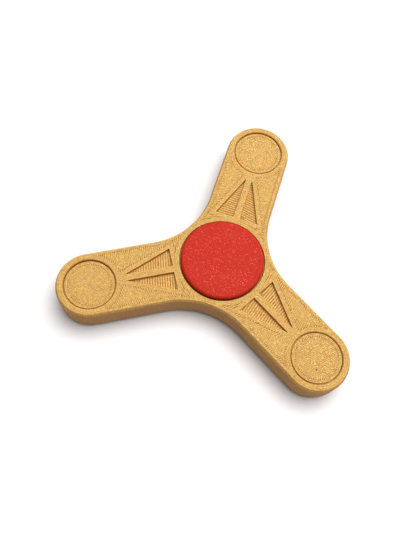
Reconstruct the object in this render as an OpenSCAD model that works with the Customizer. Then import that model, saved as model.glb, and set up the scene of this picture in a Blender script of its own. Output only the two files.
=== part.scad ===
// Three-arm hand spinner: a printed body that turns on a 608 ball bearing, with a steel nut
// under a round cover in each arm tip, and a finger cap pressed into the bearing from each side.
// The origin is the centre of the lower cap's resting face. +Z is the spin axis and +Y is arm 1.

/* [Body] */
// Distance from the spin axis to the centre of each arm tip
arm_reach = 40; // [39:0.5:50]
// Width of an arm, which is also the diameter of its round tip
arm_width = 20; // [19:0.5:22]
// Thickness of the body
body_thickness = 9; // [9:0.5:11]
// Radius of the hollow curve between two arms
waist_radius = 23; // [18:0.5:26]
// How far the edge chamfer cuts into the top and bottom faces
chamfer_inset = 0.6; // [0.2:0.1:1]
// How far the edge chamfer runs down the side wall
chamfer_rise = 1; // [0.4:0.1:1.5]

/* [Arm pattern] */
// Distance from the spin axis to the hub-side edge of the two triangular recesses
recess_start = 15; // [14.5:0.1:17]
// Distance from the spin axis to the tip of the triangular recesses
recess_end = 29.3; // [24:0.1:30]
// Width of the rib between the two triangular recesses
recess_rib = 2; // [1:0.1:4]
// Distance from the arm's centre line to the outer corner of a triangular recess
recess_spread = 6.7; // [4:0.1:7.5]
// Depth of the triangular recesses
recess_depth = 1.2; // [0.4:0.1:2]

/* [Weights and covers] */
// Diameter of the round pocket that takes a cover
pocket_diameter = 15.3; // [15.2:0.1:16.5]
// Width of the chamfer around the pocket's mouth
pocket_chamfer = 0.25; // [0.1:0.05:0.4]
// Diameter of a cover
cover_diameter = 14.8; // [14.4:0.1:14.9]
// Thickness of a cover
cover_thickness = 0.6; // [0.6:0.1:1.2]
// Depth of each cover's top below the body's top face
cover_sinks = [0.4, 0.7, 0.5];
// How far each cover sits off its pocket's centre, across its arm
cover_offsets = [0, 0, 0.15];
// Size across the flats of the hex nut used as a weight
nut_flats = 13; // [12.5:0.1:13]
// Size across the hex nut's corners, which are rounded off
nut_corners = 14.4; // [14.3:0.1:14.9]
// Height of the hex nut
nut_height = 6.4; // [5:0.1:6.4]
// Diameter of the nut's threaded hole, measured at the crests
nut_hole = 6.8; // [6:0.1:8]

/* [Finger caps] */
// Diameter of a finger cap
cap_diameter = 25.3; // [23.5:0.1:25.6]
// Diameter of the round recess in the hub around a cap
hub_recess_diameter = 26; // [26:0.1:27]
// How far a cap stands out past the body's face
cap_proud = 1.3; // [0.8:0.1:3]
// Radius of the cap's rounded outer edge
cap_round = 1.1; // [0.2:0.1:1.2]
// Free height between a cap and the turning bearing parts
cap_gap = 0.3; // [0.2:0.05:0.5]

/* [Hidden] */
$fn = 96;
arm_count = 3;
half_width = arm_width / 2;

// 608 deep-groove ball bearing
bearing_bore = 8;
bearing_outer = 22;
bearing_width = 7;
ball_count = 7;
ball_diameter = 3.969;
ball_circle = 15;
ball_play = 0.02;
groove_radius = 2.05;
inner_land_radius = 6.05;
outer_land_radius = 8.95;
shield_seat_radius = 9.6;
shield_thickness = 0.3;
shield_bore_radius = 6.35;
shield_inset = 0.25;
shield_lip = 0.15;
ring_chamfer = 0.3;
cage_inner_radius = 6.75;
cage_outer_radius = 8.25;
cage_sheet = 0.3;
cage_ball_gap = 0.06;
ball_radius = ball_diameter / 2;
ball_reach = ball_circle / 2;

// Heights above the resting face
body_z = cap_proud;
body_top = body_z + body_thickness;
bearing_z = body_z + body_thickness / 2;
hub_recess_depth = (body_thickness - bearing_width) / 2;
cap_height = cap_proud + hub_recess_depth;
stub_radius = bearing_bore / 2 - 0.02;
stub_length = bearing_width / 2 - 0.1;
stub_chamfer = 0.4;
shoulder_radius = 5.8;
cap_under_chamfer = 0.2;

// The hollow curves run into the arms' straight sides at side_start, waist_bite deep
waist_reach = (waist_radius + half_width) / sin(60);
side_start = waist_reach * cos(60);
waist_bite = 0.02;

// Weight pockets
nut_clearance = 0.1;
hex_pocket_flats = nut_flats + 2 * nut_clearance;
nut_base = body_top - max(cover_sinks) - cover_thickness - nut_height - nut_clearance;
cover_chamfer = 0.15;
pocket_chamfer_depth = 0.4;
nut_corner_chamfer = 0.6;
over = 1;
spare = 0.2;

function turned(p, angle) =
    [p.x * cos(angle) - p.y * sin(angle), p.x * sin(angle) + p.y * cos(angle)];
function arm_angle(arm) = 90 + (arm - 1) * 360 / arm_count;

// Places its children in an arm's frame: X runs out along the arm from the spin axis
module on_arm(arm) {
    rotate(arm_angle(arm)) children();
}

// Turns a part made for the upper side of the bearing over to the lower side
module lower_side() {
    translate([0, 0, bearing_z]) mirror([0, 0, 1]) translate([0, 0, -bearing_z]) children();
}

// ---- Body ----

// Half section through a chamfered edge of the body, carried on a little past both faces
module edge_section(radius) {
    face_radius = radius - chamfer_inset * (1 + spare / chamfer_rise);
    polygon([
        [0, -spare], [face_radius, -spare], [radius, chamfer_rise],
        [radius, body_thickness - chamfer_rise],
        [face_radius, body_thickness + spare], [0, body_thickness + spare]
    ]);
}

module arm_bar() {
    rotate([90, 0, 90])
        linear_extrude(arm_reach) {
            edge_section(half_width);
            mirror([1, 0]) edge_section(half_width);
        }
}

module arm_tip() {
    translate([arm_reach, 0, 0]) rotate_extrude() edge_section(half_width);
}

// Six-sided plate that fills the hub between the arms, a little past the hollow curves' ends
module hub_plate() {
    corner_reach = side_start + 0.5;
    corner_half = half_width - 0.01;
    translate([0, 0, -2 * spare])
        linear_extrude(body_thickness + 4 * spare)
            polygon([
                for (arm = [1 : arm_count])
                    for (side = [-1, 1])
                        turned([corner_reach, side * corner_half], arm_angle(arm))
            ]);
}

// Removes the hollow curve between two arms, flared for the chamfers
module waist_cut() {
    radius = waist_radius + waist_bite;
    flare = chamfer_inset * (1 + over / chamfer_rise);
    translate([waist_reach, 0, 0])
        rotate_extrude()
            polygon([
                [0, -over], [radius + flare, -over], [radius, chamfer_rise],
                [radius, body_thickness - chamfer_rise],
                [radius + flare, body_thickness + over], [0, body_thickness + over]
            ]);
}

// The whole outline, trimmed flat on both faces
module body_blank() {
    intersection() {
        difference() {
            union() {
                hub_plate();
                for (arm = [1 : arm_count])
                    on_arm(arm) {
                        arm_bar();
                        arm_tip();
                    }
            }
            for (arm = [1 : arm_count])
                rotate(arm_angle(arm) + 60) waist_cut();
        }
        cylinder(r = arm_reach + arm_width, h = body_thickness);
    }
}

module bearing_seat() {
    cylinder(d = bearing_outer, h = 3 * body_thickness, center = true);
    translate([0, 0, body_thickness - hub_recess_depth])
        cylinder(d = hub_recess_diameter, h = hub_recess_depth + over);
    translate([0, 0, -over])
        cylinder(d = hub_recess_diameter, h = hub_recess_depth + over);
}

// Height of the seat under an arm's cover
function cover_base(arm) = body_top - cover_sinks[arm - 1] - cover_thickness;

// Round seat for the cover above a hexagonal pocket for the nut
module weight_pocket(arm) {
    translate([arm_reach, 0, nut_base - body_z])
        intersection() {
            rotate([0, 0, 30])
                cylinder(d = hex_pocket_flats / cos(30), h = body_thickness, $fn = 6);
            cylinder(d = nut_corners + 2 * nut_clearance, h = body_thickness);
        }
    translate([arm_reach, 0, cover_base(arm) - body_z])
        cylinder(d = pocket_diameter, h = body_thickness);
    mouth = pocket_diameter / 2;
    slope = pocket_chamfer / pocket_chamfer_depth;
    translate([arm_reach, 0, body_thickness - pocket_chamfer_depth])
        cylinder(
            r1 = mouth, r2 = mouth + pocket_chamfer + over * slope,
            h = pocket_chamfer_depth + over
        );
}

module arm_recesses() {
    translate([0, 0, body_thickness - recess_depth])
        linear_extrude(recess_depth + over)
            for (side = [0, 1])
                mirror([0, side])
                    polygon([
                        [recess_start, recess_rib / 2], [recess_start, recess_spread],
                        [recess_end, recess_rib / 2]
                    ]);
}

module body() {
    color([0.89, 0.69, 0.40])
        translate([0, 0, body_z])
            difference() {
                body_blank();
                bearing_seat();
                for (arm = [1 : arm_count])
                    on_arm(arm) {
                        weight_pocket(arm);
                        arm_recesses();
                    }
            }
}

// ---- Weights and covers ----

module cover(arm) {
    radius = cover_diameter / 2;
    color([0.88, 0.69, 0.40])
        on_arm(arm)
            translate([arm_reach, cover_offsets[arm - 1], cover_base(arm)])
                rotate_extrude()
                    polygon([
                        [0, 0], [radius, 0], [radius, cover_thickness - cover_chamfer],
                        [radius - cover_chamfer, cover_thickness], [0, cover_thickness]
                    ]);
}

// Hex nut whose corners are turned off on both faces
module weight_nut(arm) {
    corner = nut_corners / 2;
    color([0.72, 0.73, 0.75])
        on_arm(arm)
            translate([arm_reach, 0, nut_base])
                difference() {
                    intersection() {
                        rotate([0, 0, 30])
                            cylinder(d = nut_flats / cos(30), h = nut_height, $fn = 6);
                        rotate_extrude()
                            polygon([
                                [0, 0], [corner - nut_corner_chamfer, 0],
                                [corner, nut_corner_chamfer / 2],
                                [corner, nut_height - nut_corner_chamfer / 2],
                                [corner - nut_corner_chamfer, nut_height], [0, nut_height]
                            ]);
                    }
                    translate([0, 0, -over]) cylinder(d = nut_hole, h = nut_height + 2 * over);
                }
}

// ---- Bearing ----

// A ring's closed section from the corners of its upper half, which run from bore to rim
function both_halves(upper) =
    concat(upper, [for (i = [len(upper) - 1 : -1 : 0]) [upper[i].x, -upper[i].y]]);

function outer_ring_corners(top, outer, seat_floor) = [
    [outer_land_radius, seat_floor], [shield_seat_radius, seat_floor],
    [shield_seat_radius, top], [outer - ring_chamfer, top], [outer, top - ring_chamfer]
];

function inner_ring_corners(top, bore) = [
    [bore, top - ring_chamfer], [bore + ring_chamfer, top], [inner_land_radius, top]
];

// Ring with a round groove for the balls
module grooved_ring(upper_corners, groove_centre) {
    translate([0, 0, bearing_z])
        rotate_extrude()
            difference() {
                polygon(both_halves(upper_corners));
                translate([groove_centre, 0]) circle(r = groove_radius);
            }
}

module bearing_outer_ring() {
    top = bearing_width / 2;
    seat_floor = top - shield_inset - shield_thickness;
    color([0.75, 0.76, 0.78])
        grooved_ring(
            outer_ring_corners(top, bearing_outer / 2, seat_floor),
            ball_reach + ball_radius + ball_play - groove_radius
        );
}

module bearing_inner_ring() {
    color([0.75, 0.76, 0.78])
        grooved_ring(
            inner_ring_corners(bearing_width / 2, bearing_bore / 2),
            ball_reach - ball_radius - ball_play + groove_radius
        );
}

module at_ball(index) {
    rotate((index - 1) * 360 / ball_count)
        translate([ball_reach, 0, bearing_z])
            children();
}

module bearing_ball(index) {
    color([0.82, 0.83, 0.85]) at_ball(index) sphere(r = ball_radius);
}

// Flat ring with a spherical cup over each ball
module bearing_cage_upper() {
    pocket_radius = ball_radius + cage_ball_gap;
    color([0.68, 0.66, 0.60])
        difference() {
            intersection() {
                union() {
                    translate([0, 0, bearing_z]) cylinder(r = cage_outer_radius, h = cage_sheet);
                    for (index = [1 : ball_count])
                        at_ball(index) sphere(r = pocket_radius + cage_sheet);
                }
                translate([0, 0, bearing_z])
                    difference() {
                        cylinder(r = cage_outer_radius, h = bearing_width);
                        translate([0, 0, -over])
                            cylinder(r = cage_inner_radius, h = bearing_width + 2 * over);
                    }
            }
            for (index = [1 : ball_count])
                at_ball(index) sphere(r = pocket_radius);
        }
}

module bearing_cage_lower() {
    lower_side() bearing_cage_upper();
}

// Dished sheet ring held in the outer ring's step, clear of the inner ring
module bearing_shield_upper() {
    top = bearing_z + bearing_width / 2 - shield_inset;
    dish = 0.8;
    color([0.70, 0.71, 0.73])
        translate([0, 0, top - shield_thickness])
            rotate_extrude()
                polygon([
                    [shield_bore_radius, 0], [shield_seat_radius, 0],
                    [shield_seat_radius, shield_thickness],
                    [shield_seat_radius - dish, shield_thickness],
                    [shield_seat_radius - dish - shield_lip, shield_thickness - shield_lip],
                    [shield_bore_radius, shield_thickness - shield_lip]
                ]);
}

module bearing_shield_lower() {
    lower_side() bearing_shield_upper();
}

// ---- Finger caps ----

// Round button with a raised shoulder on the inner ring and a stub in its bore
module finger_cap_upper() {
    radius = cap_diameter / 2;
    round_steps = 6;
    color([0.83, 0.25, 0.20])
        translate([0, 0, bearing_z + bearing_width / 2])
            rotate_extrude()
                polygon(concat(
                    [
                        [0, -stub_length], [stub_radius - stub_chamfer, -stub_length],
                        [stub_radius, stub_chamfer - stub_length], [stub_radius, 0],
                        [shoulder_radius, 0], [shoulder_radius, cap_gap],
                        [radius - cap_under_chamfer, cap_gap],
                        [radius, cap_gap + cap_under_chamfer]
                    ],
                    [
                        for (step = [0 : round_steps])
                            [
                                radius - cap_round + cap_round * cos(90 * step / round_steps),
                                cap_height - cap_round + cap_round * sin(90 * step / round_steps)
                            ]
                    ],
                    [[0, cap_height]]
                ));
}

module finger_cap_lower() {
    lower_side() finger_cap_upper();
}

body();
cover(1);  // cover_1
cover(2);  // cover_2
cover(3);  // cover_3
weight_nut(1);  // weight_nut_1
weight_nut(2);  // weight_nut_2
weight_nut(3);  // weight_nut_3
bearing_outer_ring();
bearing_inner_ring();
bearing_ball(1);  // bearing_ball_1
bearing_ball(2);  // bearing_ball_2
bearing_ball(3);  // bearing_ball_3
bearing_ball(4);  // bearing_ball_4
bearing_ball(5);  // bearing_ball_5
bearing_ball(6);  // bearing_ball_6
bearing_ball(7);  // bearing_ball_7
bearing_cage_upper();
bearing_cage_lower();
bearing_shield_upper();
bearing_shield_lower();
finger_cap_upper();
finger_cap_lower();
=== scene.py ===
import math
import bpy
from mathutils import Matrix, Vector
from mathutils.geometry import delaunay_2d_cdt


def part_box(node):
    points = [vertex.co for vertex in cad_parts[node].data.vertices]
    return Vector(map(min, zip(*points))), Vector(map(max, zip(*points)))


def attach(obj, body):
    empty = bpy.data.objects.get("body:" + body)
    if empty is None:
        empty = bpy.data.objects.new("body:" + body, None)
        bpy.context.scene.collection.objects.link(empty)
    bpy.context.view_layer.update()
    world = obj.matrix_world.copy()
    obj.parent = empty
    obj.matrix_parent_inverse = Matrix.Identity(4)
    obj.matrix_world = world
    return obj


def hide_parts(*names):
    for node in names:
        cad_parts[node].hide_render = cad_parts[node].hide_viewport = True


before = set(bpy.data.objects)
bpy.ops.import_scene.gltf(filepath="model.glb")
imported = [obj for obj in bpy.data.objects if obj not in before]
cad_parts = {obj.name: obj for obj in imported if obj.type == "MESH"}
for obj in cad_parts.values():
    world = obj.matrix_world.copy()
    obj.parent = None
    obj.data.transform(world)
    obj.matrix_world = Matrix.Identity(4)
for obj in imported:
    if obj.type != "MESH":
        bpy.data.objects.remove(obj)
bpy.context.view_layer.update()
scene = bpy.context.scene
mm = 0.001
print("frame loaded")

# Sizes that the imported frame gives
bodyLow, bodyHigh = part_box("body")
coverLow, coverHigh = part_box("cover_1")
capLow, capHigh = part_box("finger_cap_upper")
bodyTop, bodyFoot = bodyHigh.z, bodyLow.z
armReach = (coverLow.y + coverHigh.y) / 2
halfWidth = bodyHigh.y - armReach
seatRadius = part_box("bearing_outer_ring")[1].x
capRadius = capHigh.x
middleZ = (bodyTop + bodyFoot) / 2
armAngles = [math.radians(90 + 120 * arm) for arm in range(3)]

cameraSetup = {
    "azimuth": 6.884,  # degrees round from straight in front
    "elevation": 68.993,
    "roll": 11.393,
    "distance": 0.17699,  # metres from the target
    "lens": 38.59,
    "target": (-0.002398, -0.006768),  # on the body's top face
}

studio = {
    "skyStrength": 0.30,
    "skyColour": (1.0, 0.985, 0.975),
    "softboxes": [
        {"name": "overhead", "at": (0.10, 0.20, 0.70), "size": 0.75, "power": 9.6},
    ],
}


def makeCamera(setup):
    azimuth, elevation, roll = [math.radians(setup[key]) for key in ("azimuth", "elevation", "roll")]
    flat = math.cos(elevation)
    back = Vector((math.sin(azimuth) * flat, -math.cos(azimuth) * flat, math.sin(elevation)))
    right = (-back).cross(Vector((0, 0, 1))).normalized()
    up = right.cross(-back)
    across = right * math.cos(roll) + up * math.sin(roll)
    upright = up * math.cos(roll) - right * math.sin(roll)
    camera = bpy.data.objects.new("camera", bpy.data.cameras.new("camera"))
    scene.collection.objects.link(camera)
    camera.data.sensor_width = 36
    camera.data.lens = setup["lens"]
    camera.data.clip_start = 0.005
    camera.data.clip_end = 20
    camera.rotation_mode = "QUATERNION"
    camera.rotation_quaternion = Matrix((across, upright, back)).transposed().to_quaternion()
    camera.location = Vector((*setup["target"], bodyTop)) + back * setup["distance"]
    scene.camera = camera


def makeStudio(setup):
    world = bpy.data.worlds.new("studio")
    world.use_nodes = True
    sky = world.node_tree.nodes["Background"]
    sky.inputs["Color"].default_value = (*setup["skyColour"], 1)
    sky.inputs["Strength"].default_value = setup["skyStrength"]
    scene.world = world
    scene.view_settings.view_transform = "Standard"
    for box in setup["softboxes"]:
        light = bpy.data.lights.new(box["name"], "AREA")
        light.shape = "DISK"
        light.size = box["size"]
        light.energy = box["power"]
        lamp = bpy.data.objects.new(box["name"], light)
        lamp.location = box["at"]
        lamp.rotation_mode = "QUATERNION"
        lamp.rotation_quaternion = (-Vector(box["at"])).to_track_quat("-Z", "Y")
        scene.collection.objects.link(lamp)


makeCamera(cameraSetup)
makeStudio(studio)
print("camera and studio ready")


# One value in a node tree, with ordinary arithmetic on it
class Val:
    def __init__(self, tree, socket):
        self.tree = tree
        self.socket = socket

    def math(self, operation, *others):
        values = dict(enumerate((self, *others)))
        return self.tree.node("ShaderNodeMath", {"operation": operation}, values)

    def part(self, output):
        return Val(self.tree, self.socket.node.outputs[output])

    def __add__(self, other):
        return self.math("ADD", other)

    def __sub__(self, other):
        return self.math("SUBTRACT", other)

    def __rsub__(self, other):
        return (self * -1) + other

    def __mul__(self, other):
        return self.math("MULTIPLY", other)

    def __truediv__(self, other):
        return self.math("DIVIDE", other)

    def __abs__(self):
        return self.math("ABSOLUTE")

    __radd__ = __add__
    __rmul__ = __mul__

    def least(self, other):
        return self.math("MINIMUM", other)

    def most(self, other):
        return self.math("MAXIMUM", other)

    def above(self, other):
        return self.math("GREATER_THAN", other)

    def root(self):
        return self.math("SQRT")

    def fraction(self):
        return self.math("FRACT")

    # 0 up to low, 1 from high, smooth between
    def ramp(self, low, high):
        values = {"Value": self, "From Min": low, "From Max": high}
        return self.tree.node("ShaderNodeMapRange", {"interpolation_type": "SMOOTHSTEP"}, values)

    # 1 within width of middle, falling smoothly to 0 over the same width again
    def band(self, middle, width):
        return 1 - abs(self - middle).ramp(width, width * 2)

    # this value where mask is 0, the other where mask is 1
    def toward(self, other, mask):
        return self + (other - self) * mask


# A node tree under construction
class Tree:
    def __init__(self, tree):
        self.tree = tree

    # adds a node of any kind: settings first, then the values or links of its sockets
    def node(self, kind, settings=None, values=None, output=0):
        made = self.tree.nodes.new(kind)
        for name, setting in (settings or {}).items():
            setattr(made, name, setting)
        for name, value in (values or {}).items():
            self.feed(made.inputs[name], value)
        return Val(self, made.outputs[output])

    def feed(self, socket, value):
        if isinstance(value, Val):
            self.tree.links.new(value.socket, socket)
        else:
            socket.default_value = value


# The node tree of one material, with the nodes that these finishes share
class Finish(Tree):
    def __init__(self, name):
        self.material = bpy.data.materials.new(name)
        self.material.use_nodes = True
        super().__init__(self.material.node_tree)
        self.shader = self.tree.nodes["Principled BSDF"]
        self.place = self.node("ShaderNodeTexCoord", output="Object")

    # the place on the piece in millimetres from a centre
    def millimetres(self, centre=(0, 0)):
        moved = self.node(
            "ShaderNodeVectorMath", {"operation": "SUBTRACT"}, {0: self.place, 1: (*centre, 0)}
        )
        scaled = self.node("ShaderNodeVectorMath", {"operation": "SCALE"}, {0: moved, "Scale": 1 / mm})
        split = self.node("ShaderNodeSeparateXYZ", None, {0: scaled})
        return split, split.part("Y"), split.part("Z")

    # how level the surface is: 1 where it faces straight up or down, 0 on a wall
    def level(self):
        facing = self.node("ShaderNodeTexCoord", output="Normal")
        return abs(self.node("ShaderNodeSeparateXYZ", None, {0: facing}, "Z"))

    # cloudy noise with features about that many millimetres across
    def cloud(self, size, detail=2.0, place=None):
        values = {"Vector": place or self.place, "Scale": 1 / size if place else 1 / (size * mm)}
        return self.node("ShaderNodeTexNoise", None, {**values, "Detail": detail})

    # a random value for each grain of that many millimetres across
    def grains(self, size, shift=0.0):
        moved = self.node(
            "ShaderNodeVectorMath", {"operation": "ADD"}, {0: self.place, 1: (shift, shift, shift)}
        )
        values = {"Vector": moved, "Scale": 1 / (size * mm)}
        cells = self.node("ShaderNodeTexVoronoi", None, values, "Color")
        return self.node("ShaderNodeSeparateColor", None, {0: cells})

    def random(self, number):
        return self.node("ShaderNodeTexWhiteNoise", {"noise_dimensions": "1D"}, {"W": number})

    def blend(self, first, second, mask):
        settings = {"data_type": "RGBA", "clamp_factor": True}
        return self.node("ShaderNodeMix", settings, {0: mask, 6: first, 7: second}, 2)

    def bump(self, height):
        return self.node("ShaderNodeBump", None, {"Height": height, "Distance": mm})

    def close(self, values):
        for name, value in values.items():
            self.feed(self.shader.inputs[name], value)
        return self.material


# A colour from its usual 0 to 255 screen values
def tint(red, green, blue):
    channels = [channel / 255 for channel in (red, green, blue)]
    return (*[c / 12.92 if c <= 0.04045 else ((c + 0.055) / 1.055) ** 2.4 for c in channels], 1)


outline = {
    "waistRadius": 23 * mm,
    "chamferInset": 0.6 * mm,
    "chamferRise": 1 * mm,
    "edgeEase": 0.3 * mm,  # how far each edge is rounded over
    "hubRecess": 13 * mm,
    "hubDepth": 1 * mm,
    "rimEase": 0.1 * mm,
    "pocketRadius": 7.65 * mm,
    "pocketChamfer": 0.25 * mm,
    "pocketSteps": 120,
    "chamferDepth": 0.4 * mm,
    "nutFlats": 13.2 * mm,
    "nutCorners": 14.6 * mm,
    "nutFloor": 7.8 * mm,  # depth below the top face
    "recessStart": 15 * mm,
    "recessEnd": 29.3 * mm,
    "recessRib": 1 * mm,  # half the rib between the two recesses
    "recessSpread": 6.7 * mm,
    "recessDepth": 1.2 * mm,
    "recessCorner": 0.08 * mm,
    "flatBand": 0.25 * mm,  # level strip inside each edge
}
waistReach = (outline["waistRadius"] + halfWidth) / math.sin(math.radians(60))
sideStart = waistReach / 2


# Distances in millimetres on the body's face: to the nearest edge, across the straight beads,
# along the row where those beads turn round, and to the outer wall
def bodyLayout(x, y):
    size = {name: value / mm for name, value in outline.items()}
    half, reach, start = halfWidth / mm, armReach / mm, sideStart / mm
    third = math.radians(120)
    sideShift = 0.3  # keeps the rows on slanted edges from running level
    radius = (x * x + y * y).root()
    turn = (y.math("ARCTAN2", x) - armAngles[0]) / third + 0.5
    swing = (turn.fraction() - 0.5) * third
    far = radius * swing.math("COSINE")
    side = abs(radius * swing.math("SINE"))
    fromTip = ((far - reach) * (far - reach) + side * side).root()
    waistCentre = half + size["waistRadius"]
    fromWaist = ((far - start) * (far - start) + (side - waistCentre) * (side - waistCentre)).root()
    onTip, onWaist = far.above(reach), 1 - far.above(start)
    rim = (half - side).toward(half - fromTip, onTip).toward(fromWaist - size["waistRadius"], onWaist)
    mouth = size["pocketRadius"] + size["pocketChamfer"]
    edge = rim.least(abs(fromTip - mouth)).least(abs(radius - size["hubRecess"]))
    run = size["recessEnd"] - size["recessStart"]
    rise = size["recessSpread"] - size["recessRib"]
    slope = math.hypot(run, rise)
    slant = (far - size["recessStart"]) * (rise / slope) + (side - size["recessSpread"]) * (run / slope)
    recess = (size["recessStart"] - far).most(size["recessRib"] - side).most(slant)
    return edge.least(abs(recess)), (x + y) * math.sqrt(0.5), far + side * sideShift, rim


# The same distances on a round piece, whose rim is also its outer wall
def discLayout(radius):
    def layout(x, y):
        fromMiddle = (x * x + y * y).root()
        around = y.math("ARCTAN2", x) * (radius / mm)
        edge = radius / mm - fromMiddle
        return edge, (x - y) * math.sqrt(0.5), around, edge

    return layout


# Tints say how far the colour moves toward shade, the painted wall and crevice shade or the painted
# glint of the sparks
goldLook = {
    "deep": tint(178, 143, 77),
    "light": tint(208, 173, 101),
    "shade": tint(130, 62, 26),
    # painted glint: the glitter's sparks are lightened toward this colour
    "spark": tint(250, 214, 140),
    # painted shade: the outer walls move toward this darker brown, where less light falls on them
    "wall": tint(124, 62, 42),
    "wallShadeTint": 0.52,
    # painted shade: the redder colour that light bounced inside pockets and recesses gives
    "creviceShade": tint(188, 98, 44),
    "creviceShadeTint": 0.7,  # painted shade, redder and darker, on the walls of pockets and recesses
    "bedShadeTint": 0.32,  # painted shade on the recess floor between the ribs
    "bead": 0.5,  # millimetres wide
    "loops": 3,  # beads that follow each edge
    "layer": 0.2,
    "beadHeight": 0.04,
    "wanderSize": 1.1,
    "beadWander": 0.12,
    "layerWander": 0.04,
    "grooveTint": 0.34,
    "beadTint": 0.05,
    "stitch": 0.62,  # spacing of the turns along an edge
    "stitchWander": 0.5,
    "stitchReach": 0.55,  # from the loops to the middle of the turns
    "stitchWidth": 0.4,
    "stitchTint": 0.26,
    "patch": 2.2,  # size of the patches where the turns show
    "cloud": 0.9,
    "pinholes": 0.65,
    "pinholeWidth": 0.15,
    "pinholeDepth": 0.08,
    "grain": 0.36,
    "fineGrain": 0.18,
    "grainHeight": 0.025,
    "sparkShare": 0.05,
    "sparkGlintTint": 0.35,
    "fleckShare": 0.05,
    "fleckTint": 0.14,
    "smudge": 6.0,
    "smudgeTint": 0.04,
    "roughness": 0.62,
    "glow": 0.8,  # light scattered inside the plastic
    "glowColours": (1.0, 0.4, 0.12),
    "depth": 1.2 * mm,
}

redLook = dict(
    goldLook,
    deep=tint(168, 30, 9),
    light=tint(180, 37, 14),
    shade=tint(100, 8, 4),
    # painted glint colour of the cap's glitter sparks
    spark=tint(235, 120, 110),
    beadHeight=0.012,
    # painted shade: the cap's rounded side is darkened
    wall=tint(90, 6, 3),
    wallShadeTint=0.6,
    # painted shade on the cap's inner walls
    creviceShade=tint(120, 14, 6),
    creviceShadeTint=0.5,
    bedShadeTint=0.0,
    grooveTint=0.04,
    beadTint=0.04,
    stitchTint=0.0,
    pinholes=0.0,
    grain=0.3,
    fineGrain=0.15,
    grainHeight=0.015,
    sparkShare=0.04,
    sparkGlintTint=0.4,
    fleckShare=0.03,
    fleckTint=0.12,
    roughness=0.6,
    glow=0.45,
    depth=0.6 * mm,
)


# What every printed finish shares
printRules = {
    "faceLevel": (0.55, 0.9),  # how level a surface is where beads start and are full
    "wallLevel": (0.2, 0.75),
    "outsideBand": 0.8,  # millimetres inside the outline where walls get the painted outer-wall shade rather than the painted crevice shade
    # height band of the painted shade on the recess floor
    "bedBand": 0.05,
    "turnPeak": (0.4, 0.8),  # the part of each turn that leaves a pinhole
    "patchEdge": (0.3, 0.5),
    "mottleEdge": (0.15, 0.85),
    "mottleShares": (0.35, 0.55, 0.1),  # grains, fine grains and clouds
    "fineShift": 0.013,  # metres, so that the two sizes of grain don't line up
    "wallGlint": 0.3,  # strength of the painted glint of the sparks on walls
    "mottleRough": 0.1,
    "sparkRough": 0.2,
    "sparkMetal": 0.3,
    "refraction": 1.46,
    "specular": 0.18,
}


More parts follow.
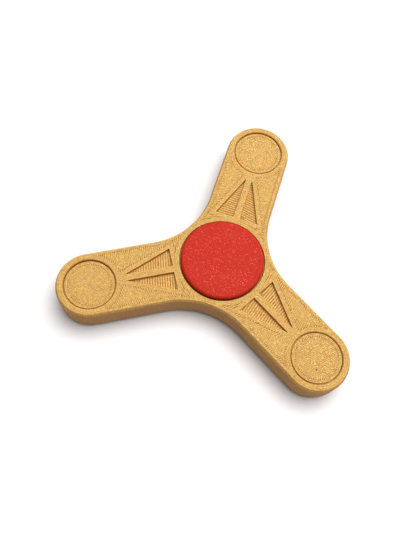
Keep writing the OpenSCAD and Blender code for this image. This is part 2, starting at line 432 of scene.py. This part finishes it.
# Printed plastic: beads that follow every edge, straight beads inside them, layers up the
# walls, fine glitter with painted glint, and painted shade on walls, in pockets and recesses and
# between the ribs
def printedPlastic(name, look, layout, centre=(0, 0), pit=None):
    finish = Finish(name)
    x, y, z = finish.millimetres(centre)
    edge, across, along, rim = layout(x, y)
    wander = finish.cloud(look["wanderSize"]) - 0.5
    loopWidth = look["bead"] * look["loops"]
    inside = edge.above(loopWidth)
    level = finish.level()
    onFace = level.ramp(*printRules["faceLevel"])
    # onWall marks the walls that get the painted wall and crevice shade
    onWall = 1 - level.ramp(*printRules["wallLevel"])
    onOutside = rim.band(0, printRules["outsideBand"])

    # beads on the faces, layers on the walls
    straight = (across + wander * look["beadWander"]) / look["bead"]
    onTop = (edge / look["bead"]).toward(straight, inside)
    track = ((z + wander * look["layerWander"]) / look["layer"]).toward(onTop, onFace)
    swing = track.fraction() * 2 - 1
    groove = swing * swing
    beadTone = finish.random(track.math("FLOOR"))

    # the straight beads turn round beside the innermost loop and leave a row of pinholes
    turnAngle = (along + wander * look["stitchWander"]) * (2 * math.pi / look["stitch"])
    turns = turnAngle.math("SINE")
    turnBand = edge.band(loopWidth + look["stitchReach"], look["stitchWidth"]) * onFace
    patches = finish.cloud(look["patch"]).ramp(*printRules["patchEdge"])
    pinhole = edge.band(loopWidth, look["pinholeWidth"]) * turns.ramp(*printRules["turnPeak"])
    pinhole = pinhole * patches * onFace
    if pit:
        fromPit = ((x - pit[0]) * (x - pit[0]) + (y - pit[1]) * (y - pit[1])).root()
        pitShape = 1 - fromPit.ramp(*coverSizes["pitRadii"])
        pinhole = pinhole.most(pitShape * coverSizes["pitDepth"])

    grain = finish.grains(look["grain"])
    fine = finish.grains(look["fineGrain"], printRules["fineShift"])
    grainShare, fineShare, cloudShare = printRules["mottleShares"]
    mottle = grain * grainShare + fine * fineShare + finish.cloud(look["cloud"], 3.0) * cloudShare
    spark = fine.above(1 - look["sparkShare"])
    fleck = 1 - grain.above(look["fleckShare"])
    # painted shade: the recess floor between the ribs is darkened
    bedHeight = (bodyTop - outline["recessDepth"]) / mm
    bed = z.band(bedHeight, printRules["bedBand"]) * onFace

    # dark tone: bead grooves, bead tone, flecks, stitches, smudges and pinholes are the print's own;
    # the recess floor's part is painted shade
    shade = groove * look["grooveTint"] + beadTone * look["beadTint"] + fleck * look["fleckTint"]
    shade = shade + turns * turnBand * patches * look["stitchTint"]
    shade = shade + finish.cloud(look["smudge"]) * look["smudgeTint"]
    shade = shade + bed * look["bedShadeTint"] + pinhole * look["pinholes"]
    tone = finish.blend(look["deep"], look["light"], mottle.ramp(*printRules["mottleEdge"]))
    # painted shade: walls inside pockets and recesses move toward the redder crevice colour
    tone = finish.blend(tone, look["creviceShade"], onWall * (1 - onOutside) * look["creviceShadeTint"])
    # painted shade: outer walls darkened toward the wall colour
    tone = finish.blend(tone, look["wall"], onWall * onOutside * look["wallShadeTint"])
    tone = finish.blend(tone, look["shade"], shade)
    # the glitter's sparks are real flakes; their lighter colour is painted glint, weaker on walls
    wallGlint = printRules["wallGlint"]
    paintedGlint = spark * (onFace * (1 - wallGlint) + wallGlint)
    tone = finish.blend(tone, look["spark"], paintedGlint * look["sparkGlintTint"])
    roughness = mottle * printRules["mottleRough"] + look["roughness"]
    height = fine * look["grainHeight"] - groove * look["beadHeight"]
    return finish.close({
        "Base Color": tone,
        "Roughness": roughness - spark * printRules["sparkRough"],
        "Metallic": spark * printRules["sparkMetal"],
        "Normal": finish.bump(height - pinhole * look["pinholeDepth"]),
        "IOR": printRules["refraction"],
        "Specular IOR Level": printRules["specular"],
        "Subsurface Weight": look["glow"],
        "Subsurface Radius": look["glowColours"],
        "Subsurface Scale": look["depth"],
    })


metalLook = {
    "ring": 0.12,  # millimetres between turning marks
    "ringRough": 0.06,
    "smear": 2.5,
    "smearRough": 0.12,
    "smearHeight": 0.003,
    "speck": 0.5,
    "speckShare": 0.03,
    "speckColour": tint(110, 100, 90),
    "speckTint": 0.35,
    "dull": 0.72,  # brightness where the metal is dull
}


# Turned or rolled metal: fine rings round the piece's own axis, smears and a few specks
def turnedMetal(name, colour, roughness, centre=(0, 0), ringHeight=0.004):
    finish = Finish(name)
    x, y, z = finish.millimetres(centre)
    radius = (x * x + y * y).root()
    turning = finish.node("ShaderNodeCombineXYZ", None, {0: radius, 1: z})
    rings = finish.cloud(metalLook["ring"], 4.0, turning)
    smear = finish.cloud(metalLook["smear"], 3.0)
    speck = 1 - finish.grains(metalLook["speck"]).above(metalLook["speckShare"])
    dull = tuple(channel * metalLook["dull"] for channel in colour[:3]) + (1,)
    tone = finish.blend(dull, colour, rings * 0.5 + smear * 0.5)
    tone = finish.blend(tone, metalLook["speckColour"], speck * metalLook["speckTint"])
    return finish.close({
        "Base Color": tone,
        "Roughness": smear * metalLook["smearRough"] + rings * metalLook["ringRough"] + roughness,
        "Metallic": 1.0,
        "Normal": finish.bump(rings * ringHeight + smear * metalLook["smearHeight"]),
    })


def turned(point, angle):
    cosine, sine = math.cos(angle), math.sin(angle)
    return (point[0] * cosine - point[1] * sine, point[0] * sine + point[1] * cosine)


def arc(centre, radius, start, end, steps):
    angles = [start + (end - start) * step / steps for step in range(steps + 1)]
    return [(centre[0] + radius * math.cos(a), centre[1] + radius * math.sin(a)) for a in angles]


def circle(centre, radius, steps=144):
    return arc(centre, radius, 0, 2 * math.pi, steps)[:-1]


# A hexagon with one flat facing the hub and its corners rounded off
def hexLoop(reach, flats, corners, steps=72):
    points = []
    for step in range(steps):
        angle = 2 * math.pi * (step + 0.5) / steps
        swing = (angle + math.pi / 6) % (math.pi / 3) - math.pi / 6
        radius = min(flats / 2 / math.cos(swing), corners / 2)
        points.append((reach + radius * math.cos(angle), radius * math.sin(angle)))
    return points


# The body's outline moved inward by inset
def bodyLoop(inset, tipSteps=60, waistSteps=30):
    quarter = math.radians(90)
    waistEnd = math.radians(-150)
    waistCentre = turned((waistReach, 0), math.radians(60))
    tip = arc((armReach, 0), halfWidth - inset, -quarter, quarter, tipSteps)
    waist = arc(waistCentre, outline["waistRadius"] + inset, -quarter, waistEnd, waistSteps)
    return [turned(point, angle) for angle in armAngles for point in tip + waist]


# A polygon moved outward by grow, with its corners rounded
def roundedLoop(corners, grow, corner, steps=4, smallest=0.03 * mm):
    radius = max(corner + grow, smallest)
    points = []
    for index, here in enumerate(corners):
        here = Vector(here)
        into = (here - Vector(corners[index - 1])).normalized()
        out = (Vector(corners[(index + 1) % len(corners)]) - here).normalized()
        normalIn, normalOut = Vector((into.y, -into.x)), Vector((out.y, -out.x))
        middle = (normalIn + normalOut).normalized()
        centre = here + middle * (grow - radius) / middle.dot(normalIn)
        first = math.atan2(normalIn.y, normalIn.x)
        last = first + math.atan2(normalIn.cross(normalOut), normalIn.dot(normalOut))
        points += arc(centre, radius, first, last, steps)
    return points


# A line of (distance, height) points with its inner corners rounded over
def eased(path, reach, steps=4, mostEased=0.45):
    points = [path[0]]
    for before, here, after in zip(path, path[1:], path[2:]):
        here = Vector(here)
        back, ahead = Vector(before) - here, Vector(after) - here
        cut = min(reach, back.length * mostEased, ahead.length * mostEased)
        first, last = here + back.normalized() * cut, here + ahead.normalized() * cut
        for step in range(steps + 1):
            t = step / steps
            points.append(tuple(first * (1 - t) ** 2 + here * 2 * t * (1 - t) + last * t * t))
    return points + [path[-1]]


# Collects the points and faces of one piece
class Shape:
    def __init__(self):
        self.points = []
        self.faces = []

    def ring(self, loop, height):
        first = len(self.points)
        self.points += [(point[0], point[1], height) for point in loop]
        return list(range(first, len(self.points)))

    # walls through a stack of rings, facing outward when the stack rises
    def walls(self, rings):
        for low, high in zip(rings, rings[1:]):
            for i in range(len(low)):
                j = (i + 1) % len(low)
                self.faces.append((low[i], low[j], high[j], high[i]))

    # a flat face between an outer ring and the rings of its holes, which are all convex
    def sheet(self, rings, up=True, mergeReach=1e-8):
        index = [i for ring in rings for i in ring]
        owner = [number for number, ring in enumerate(rings) for _ in ring]
        flat = [Vector(self.points[i][:2]) for i in index]
        edges = []
        for ring in rings:
            start = len(edges)
            edges += [(start + i, start + (i + 1) % len(ring)) for i in range(len(ring))]
        places, _, faces, origins, _, _ = delaunay_2d_cdt(flat, edges, [], 1, mergeReach)
        for face in faces:
            picked = [origins[corner][0] for corner in face]
            owners = {owner[corner] for corner in picked}
            if len(owners) == 1 and owners != {0}:
                continue  # inside a hole
            a, b, c = [places[corner] for corner in face]
            picked = [index[corner] for corner in picked]
            risesUp = (b - a).cross(c - a) > 0
            self.faces.append(tuple(picked if risesUp == up else picked[::-1]))

    # the finished object, with faces more than sharpAngle degrees apart left crisp
    def piece(self, name, material, sharpAngle=35):
        mesh = bpy.data.meshes.new(name)
        mesh.from_pydata(self.points, [], self.faces)
        mesh.materials.append(material)
        mesh.polygons.foreach_set("use_smooth", [True] * len(mesh.polygons))
        mesh.set_sharp_from_angle(angle=math.radians(sharpAngle))
        made = bpy.data.objects.new(name, mesh)
        scene.collection.objects.link(made)
        return made


# Ties a finished piece to its body and hides the plain parts that it stands for
def place(piece, body, slot, *nodes):
    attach(piece, body)
    if nodes:
        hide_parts(*nodes)


# A turned piece from (radius, height) points that run from its underside to its top
def turnedPiece(name, centre, path, material, steps=144):
    shape = Shape()
    rings = [shape.ring(circle(centre, radius, steps), height) for radius, height in path]
    shape.walls(rings)
    shape.sheet([rings[0]], up=False)
    shape.sheet([rings[-1]])
    return shape.piece(name, material)


def makeBody(material):
    shape = Shape()
    size = outline
    inset, rise, flat = size["chamferInset"], size["chamferRise"], size["flatBand"]
    lower = [(inset + 2 * flat, bodyFoot), (inset, bodyFoot), (0, bodyFoot + rise)]
    upper = [(0, bodyTop - rise), (inset, bodyTop), (inset + 2 * flat, bodyTop)]
    edge = eased(lower + upper, size["edgeEase"])
    wall = [shape.ring(bodyLoop(distance), height) for distance, height in edge]
    shape.walls(wall)

    # the bearing's seat, with a shallow round recess on both faces
    hub = size["hubRecess"]
    floor, ceiling = bodyTop - size["hubDepth"], bodyFoot + size["hubDepth"]
    seat = eased([
        (hub + flat, bodyTop), (hub, bodyTop), (hub, floor), (seatRadius, floor),
        (seatRadius, ceiling), (hub, ceiling), (hub, bodyFoot), (hub + flat, bodyFoot),
    ], size["rimEase"])
    seatRings = [shape.ring(circle((0, 0), radius), height) for radius, height in seat]
    shape.walls(seatRings)
    topRings = [wall[-1], seatRings[0]]

    for arm, angle in enumerate(armAngles):
        # a cover's seat above a hexagonal pocket
        centre = turned((armReach, 0), angle)
        radius, seatZ = size["pocketRadius"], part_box(f"cover_{arm + 1}")[0].z
        mouth, slopeFoot = radius + size["pocketChamfer"], bodyTop - size["chamferDepth"]
        pocket = [(mouth + flat, bodyTop), (mouth, bodyTop), (radius, slopeFoot), (radius, seatZ)]
        pocket = eased(pocket, size["rimEase"])
        pocketRings = [
            shape.ring(circle(centre, reach, size["pocketSteps"]), height) for reach, height in pocket
        ]
        shape.walls(pocketRings)
        topRings.append(pocketRings[0])
        nutLoop = hexLoop(armReach, size["nutFlats"], size["nutCorners"])
        nutLoop = [turned(point, angle) for point in nutLoop]
        nutTop = shape.ring(nutLoop, seatZ)
        nutFloor = shape.ring(nutLoop, bodyTop - size["nutFloor"])
        shape.sheet([pocketRings[-1], nutTop])
        shape.walls([nutTop, nutFloor])
        shape.sheet([nutFloor])

        # two triangular recesses beside the middle rib
        for side in (1, -1):
            rib, spread = size["recessRib"] * side, size["recessSpread"] * side
            start, end = size["recessStart"], size["recessEnd"]
            corners = [(start, rib), (end, rib), (start, spread)]
            corners = [turned(point, angle) for point in corners[::side]]
            bed = bodyTop - size["recessDepth"]
            drop = eased([(flat, bodyTop), (0, bodyTop), (0, bed), (-flat, bed)], size["rimEase"])
            rings = [
                shape.ring(roundedLoop(corners, grow, size["recessCorner"]), height)
                for grow, height in drop
            ]
            shape.walls(rings)
            shape.sheet([rings[-1]])
            topRings.append(rings[0])
    shape.sheet(topRings)
    shape.sheet([wall[0], seatRings[-1]], up=False)
    return shape.piece("printed_body", material)


goldBody = printedPlastic("goldBody", goldLook, bodyLayout)
place(makeBody(goldBody), "rotor", "gold_print", "body")
print("body ready")

ribs = {
    "pitch": 0.75 * mm,
    "width": 0.56 * mm,
    "height": 0.2 * mm,
    "margin": 0.05 * mm,  # gap at each end
    "sides": 12,  # of a rib's cross-section
    "sharpAngle": 50,
    "slants": [(0, 12), (8, 8), (-8, -15)],  # degrees for each arm's left and right recess
}


# Adds one recess's ribs to the piece: beads laid across the arm, cut to the recess's width
def ribTree():
    group = bpy.data.node_groups.new("recessRibs", "GeometryNodeTree")
    tree = Tree(group)
    sockets = {
        "Geometry": "NodeSocketGeometry", "Arm Angle": "NodeSocketFloat", "Side": "NodeSocketFloat",
        "Slant": "NodeSocketFloat", "Pitch": "NodeSocketFloat", "Width": "NodeSocketFloat",
        "Height": "NodeSocketFloat", "Margin": "NodeSocketFloat", "Start": "NodeSocketFloat",
        "End": "NodeSocketFloat", "Rib": "NodeSocketFloat", "Spread": "NodeSocketFloat",
        "Bed": "NodeSocketFloat", "Material": "NodeSocketMaterial",
    }
    for name, kind in sockets.items():
        group.interface.new_socket(name, in_out="INPUT", socket_type=kind)
    group.interface.new_socket("Geometry", in_out="OUTPUT", socket_type="NodeSocketGeometry")
    given = tree.node("NodeGroupInput")
    start, end, rib, spread = [given.part(name) for name in ("Start", "End", "Rib", "Spread")]
    slant = given.part("Slant")
    sine, cosine = slant.math("SINE"), slant.math("COSINE")
    slack = (spread - rib) * abs(sine) * 1.2  # room for slanted ribs at both ends
    pitch = given.part("Pitch") / cosine
    count = ((end - start + slack * 2) / pitch).math("FLOOR")
    first = tree.node("ShaderNodeCombineXYZ", None, {0: start - slack + pitch * 0.5})
    step = tree.node("ShaderNodeCombineXYZ", None, {0: pitch})
    spacing = {"Count": count, "Start Location": first, "Offset": step}
    line = tree.node("GeometryNodeMeshLine", {"mode": "OFFSET"}, spacing)
    spot = tree.node("ShaderNodeSeparateXYZ", None, {0: tree.node("GeometryNodeInputPosition")})

    # a rib leaves the middle rib at x = spot and ends on the recess's slanted or hub-side wall
    fall = (spread - rib) / (end - start)
    toSlope = fall * (end - spot) / (cosine + fall * sine)
    upright = 0.001  # sine of a slant too small to matter
    safeSine = sine + (1 - abs(sine).above(upright)) * 1000
    toHub = (start - spot) / safeSine
    leansOut = sine.above(upright)
    leansIn = (sine * -1).above(upright)
    low = (toHub * leansOut).most(0)
    high = toSlope.least(toSlope.toward(toHub, leansIn))
    length = high - low - given.part("Margin") * 2
    middle = (low + high) * 0.5
    at = tree.node("ShaderNodeCombineXYZ", None, {
        0: spot + sine * middle,
        1: (rib + cosine * middle) * given.part("Side"),
        2: given.part("Bed"),
    })
    placed = tree.node("GeometryNodeSetPosition", None, {"Geometry": line, "Position": at})
    ends = {"Start": (0, -0.5, 0), "End": (0, 0.5, 0)}
    strand = tree.node("GeometryNodeCurvePrimitiveLine", None, ends)
    turn = tree.node("ShaderNodeCombineXYZ", None, {2: slant * given.part("Side") * -1})
    reach = tree.node("ShaderNodeCombineXYZ", None, {0: 1.0, 1: length.most(0.0001), 2: 1.0})
    longEnough = length.above(given.part("Width") * 0.4)  # no stubs
    strands = tree.node("GeometryNodeInstanceOnPoints", None, {
        "Points": placed, "Instance": strand, "Selection": longEnough, "Rotation": turn, "Scale": reach,
    })
    strands = tree.node("GeometryNodeRealizeInstances", None, {0: strands})
    halfRib = given.part("Width") * 0.5
    rounding = {"Resolution": ribs["sides"], "Radius": halfRib}
    loop = tree.node("GeometryNodeCurvePrimitiveCircle", None, rounding)
    squeeze = given.part("Height") / halfRib
    flatten = tree.node("ShaderNodeCombineXYZ", None, {0: 1.0, 1: squeeze, 2: 1.0})
    section = tree.node("GeometryNodeTransform", None, {"Geometry": loop, "Scale": flatten})
    beads = tree.node(
        "GeometryNodeCurveToMesh", None, {"Curve": strands, "Profile Curve": section, "Fill Caps": True}
    )
    armTurn = tree.node("ShaderNodeCombineXYZ", None, {2: given.part("Arm Angle")})
    beads = tree.node("GeometryNodeTransform", None, {"Geometry": beads, "Rotation": armTurn})
    joined = tree.node("GeometryNodeJoinGeometry")
    for source in (given.part("Geometry"), beads):
        group.links.new(source.socket, joined.socket.node.inputs[0])
    plain = tree.node("GeometryNodeRealizeInstances", None, {0: joined})
    done = tree.node(
        "GeometryNodeSetMaterial", None, {"Geometry": plain, "Material": given.part("Material")}
    )
    group.links.new(done.socket, group.nodes.new("NodeGroupOutput").inputs[0])
    return group


def setInputs(modifier, values):
    for item in modifier.node_group.interface.items_tree:
        if item.in_out == "INPUT" and item.name in values:
            modifier[item.identifier] = values[item.name]


# Replaces an object's live modifiers by the mesh that they make
def settle(piece):
    depsgraph = bpy.context.evaluated_depsgraph_get()
    mesh = bpy.data.meshes.new_from_object(piece.evaluated_get(depsgraph), depsgraph=depsgraph)
    mesh.name = piece.name
    piece.modifiers.clear()
    piece.data = mesh
    mesh.polygons.foreach_set("use_smooth", [True] * len(mesh.polygons))
    mesh.set_sharp_from_angle(angle=math.radians(ribs["sharpAngle"]))


def makeRibs(look, material):
    piece = bpy.data.objects.new("recess_ribs", bpy.data.meshes.new("recess_ribs"))
    scene.collection.objects.link(piece)
    group = ribTree()
    for angle, slants in zip(armAngles, look["slants"]):
        for side, slant in zip((1.0, -1.0), slants):
            modifier = piece.modifiers.new("ribs", "NODES")
            modifier.node_group = group
            setInputs(modifier, {
                "Arm Angle": angle, "Side": side, "Slant": math.radians(slant) * side,
                "Pitch": look["pitch"], "Width": look["width"], "Height": look["height"],
                "Margin": look["margin"], "Start": outline["recessStart"], "End": outline["recessEnd"],
                "Rib": outline["recessRib"], "Spread": outline["recessSpread"],
                "Bed": bodyTop - outline["recessDepth"], "Material": material,
            })
    settle(piece)
    place(piece, "rotor", "gold_print")


ribLook = dict(
    goldLook,
    deep=tint(186, 142, 76),
    light=tint(212, 169, 98),
    glow=0.3,
    depth=0.2 * mm,
    # no painted outer-wall shade on the ribs
    wallShadeTint=0.0,
    # painted shade on the ribs' flanks
    creviceShadeTint=0.5,
    grooveTint=0.0,
    beadTint=0.0,
    beadHeight=0.0,
    stitchTint=0.0,
    pinholes=0.0,
)
makeRibs(ribs, printedPlastic("goldRibs", ribLook, bodyLayout))
print("recess ribs ready")

coverSizes = {
    "edgeEase": 0.2 * mm,
    "flatBand": 0.5 * mm,
    "pittedArm": 2,
    "pit": (2.36, -2.61),  # millimetres from the middle of the pitted cover, in its arm's directions
    "pitRadii": (0.12, 0.34),  # at the pit's floor and rim
    "pitDepth": 1.4,  # in pinhole depths
}
coverLook = dict(goldLook, loops=2, stitchTint=0.3)


def makeCover(arm):
    low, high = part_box(f"cover_{arm + 1}")
    centre = ((low.x + high.x) / 2, (low.y + high.y) / 2)
    radius, flat = (high.x - low.x) / 2, coverSizes["flatBand"]
    pit = turned(coverSizes["pit"], armAngles[arm]) if arm == coverSizes["pittedArm"] else None
    number = arm + 1
    material = printedPlastic(f"goldCover{number}", coverLook, discLayout(radius), centre, pit)
    path = [(radius - flat, low.z), (radius, low.z), (radius, high.z), (radius - flat, high.z)]
    path = eased(path, coverSizes["edgeEase"])
    cover = turnedPiece(f"printed_cover_{number}", centre, path, material)
    place(cover, "rotor", "gold_print_cover", f"cover_{number}")


for arm in range(len(armAngles)):
    makeCover(arm)
print("covers ready")

capSizes = {
    "thickness": 2 * mm,
    "round": 1.1 * mm,
    "underEase": 0.2 * mm,
    "shoulder": 5.8 * mm,
    "shoulderRise": 0.3 * mm,
    "stub": 3.98 * mm,
    "flatBand": 0.6 * mm,
    "crownSteps": 8,
}


# Both caps have the same outline, and the lower one is the upper one turned over
def makeCaps(size, material):
    top, under = capHigh.z, capHigh.z - size["thickness"]
    shoulderZ, flat = under - size["shoulderRise"], size["flatBand"]
    foot = [(size["stub"] - flat, capLow.z), (size["stub"], capLow.z), (size["stub"], shoulderZ)]
    shoulder = [(size["shoulder"], shoulderZ), (size["shoulder"], under)]
    crownX, crownZ = capRadius - size["round"], top - size["round"]
    button = [(size["shoulder"], under), (capRadius, under), (capRadius, crownZ)]
    button = eased(button, size["underEase"])
    crown = arc((crownX, crownZ), size["round"], 0, math.pi / 2, size["crownSteps"])
    path = foot + shoulder + button[1:-1] + crown + [(crownX - flat, top)]
    upper = turnedPiece("printed_cap_upper", (0, 0), path, material)
    place(upper, "holder", "red_print", "finger_cap_upper")
    flipped = [(radius, 2 * middleZ - height) for radius, height in path[::-1]]
    lower = turnedPiece("printed_cap_lower", (0, 0), flipped, material)
    place(lower, "holder", "red_print", "finger_cap_lower")


makeCaps(capSizes, printedPlastic("redCap", redLook, discLayout(capRadius)))
print("finger caps ready")


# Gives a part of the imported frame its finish
def dress(node, material):
    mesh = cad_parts[node].data
    mesh.materials.clear()
    mesh.materials.append(material)


# colour and roughness of each metal
metals = {
    "ringSteel": (tint(200, 202, 206), 0.2),
    "cageSteel": (tint(178, 172, 160), 0.34),
    "shieldSteel": (tint(188, 190, 195), 0.3),
    "ballSteel": (tint(216, 218, 222), 0.06),
    "zincNut": (tint(186, 190, 196), 0.36),
}
ballRingHeight = 0.001
ballCount = 7

ringSteel = turnedMetal("ringSteel", *metals["ringSteel"])
cageSteel = turnedMetal("cageSteel", *metals["cageSteel"])
shieldSteel = turnedMetal("shieldSteel", *metals["shieldSteel"])
ballSteel = turnedMetal("ballSteel", *metals["ballSteel"], ringHeight=ballRingHeight)
for half in ("upper", "lower"):
    dress(f"bearing_cage_{half}", cageSteel)
    dress(f"bearing_shield_{half}", shieldSteel)
for ring in ("outer", "inner"):
    dress(f"bearing_{ring}_ring", ringSteel)
for ball in range(ballCount):
    dress(f"bearing_ball_{ball + 1}", ballSteel)
for arm, angle in enumerate(armAngles):
    nutCentre = turned((armReach, 0), angle)
    zinc = turnedMetal(f"zincNut{arm + 1}", *metals["zincNut"], nutCentre)
    dress(f"weight_nut_{arm + 1}", zinc)
print("metal ready")

floorLook = {
    "size": 3.0,
    "height": -0.02 * mm,  # a hair under the piece that stands on it
    "colour": (0.73, 0.715, 0.72, 1),
    "speck": (0.71, 0.695, 0.70, 1),
    "speckSize": 3.0,
    "roughness": 0.7,
}


def makeFloor(look):
    finish = Finish("paperFloor")
    speck = finish.cloud(look["speckSize"], 3.0)
    tone = finish.blend(look["colour"], look["speck"], speck)
    roughness = speck * 0.1 + look["roughness"]
    material = finish.close({"Base Color": tone, "Roughness": roughness})
    half = look["size"] / 2
    shape = Shape()
    corners = [(-half, -half), (half, -half), (half, half), (-half, half)]
    shape.sheet([shape.ring(corners, look["height"])])
    shape.piece("floor", material)


makeFloor(floorLook)
print("floor ready")
